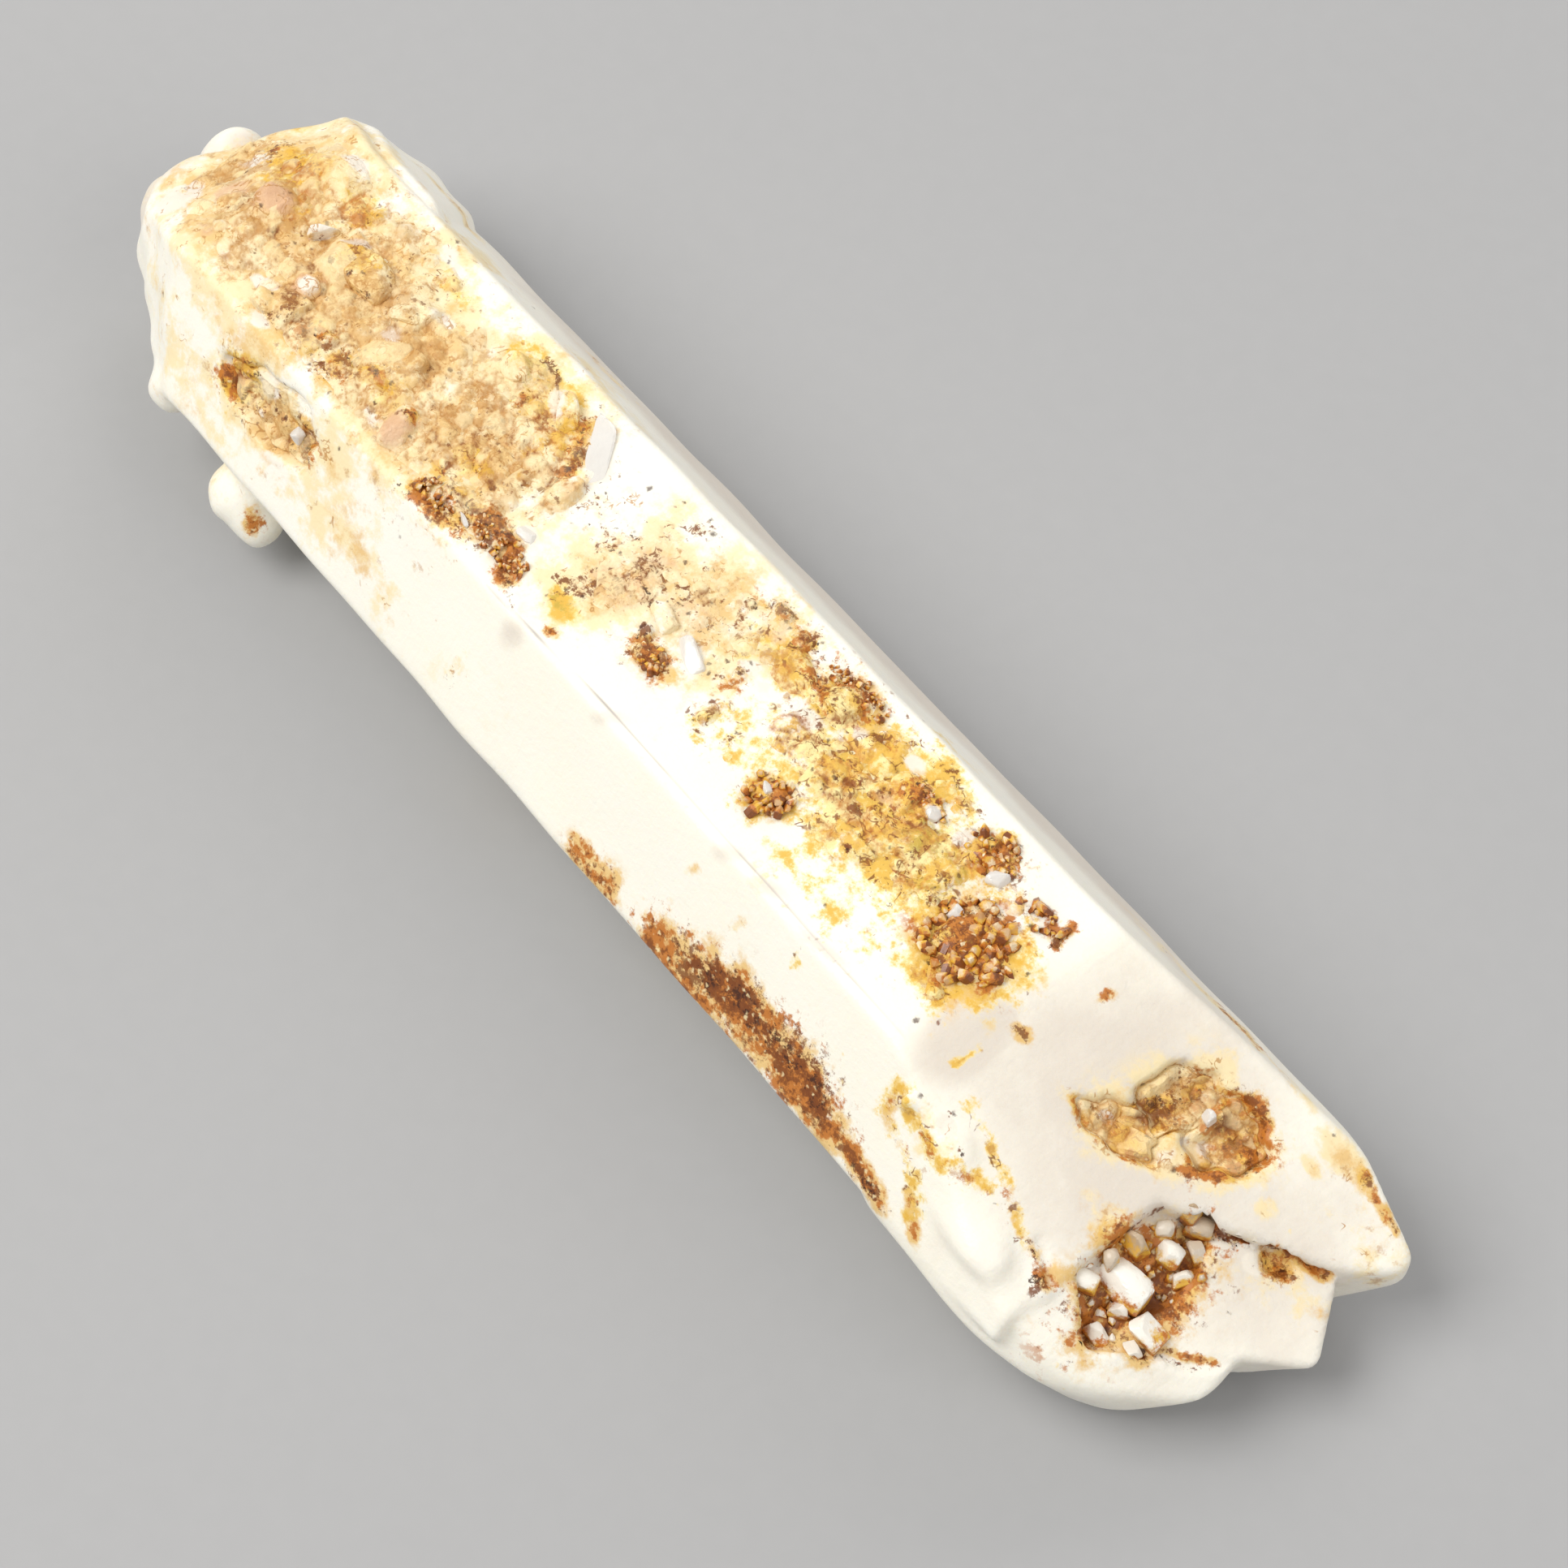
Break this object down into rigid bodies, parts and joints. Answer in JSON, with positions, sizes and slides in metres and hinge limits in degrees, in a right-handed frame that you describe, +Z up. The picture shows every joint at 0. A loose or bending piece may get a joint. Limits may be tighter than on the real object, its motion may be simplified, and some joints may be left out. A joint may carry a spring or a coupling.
{
  "type": "double terminated quartz crystal",
  "caption": "Milky quartz crystal with a termination at each end, a druse of small crystals and rust stains on its upper face, lying on a flat prism face.",
  "frame": {"origin": "middle of the crystal's box, on the flat prism face that it lies on", "axes": "+X along the crystal from the blunt overgrown tip to the tip with the cleft, +Z up through the prism face that carries the druse, +Y across"},
  "size_m": [0.0758, 0.018, 0.0126],
  "materials": {
    "milky_quartz": "satin crystal faces, cream white with yellow and rust stains",
    "rusty_crystals": "small white crystals in a rust-brown iron crust",
    "tan_crystals": "small tan crystals with brown iron stain"
  },
  "bodies": {
    "root": {"quartz_crystal": "milky_quartz", "cleft_crystals": "rusty_crystals", "tip_pit_crystals": "tan_crystals", "shoulder_pit_crystals": "tan_crystals"}
  },
  "joints": []
}
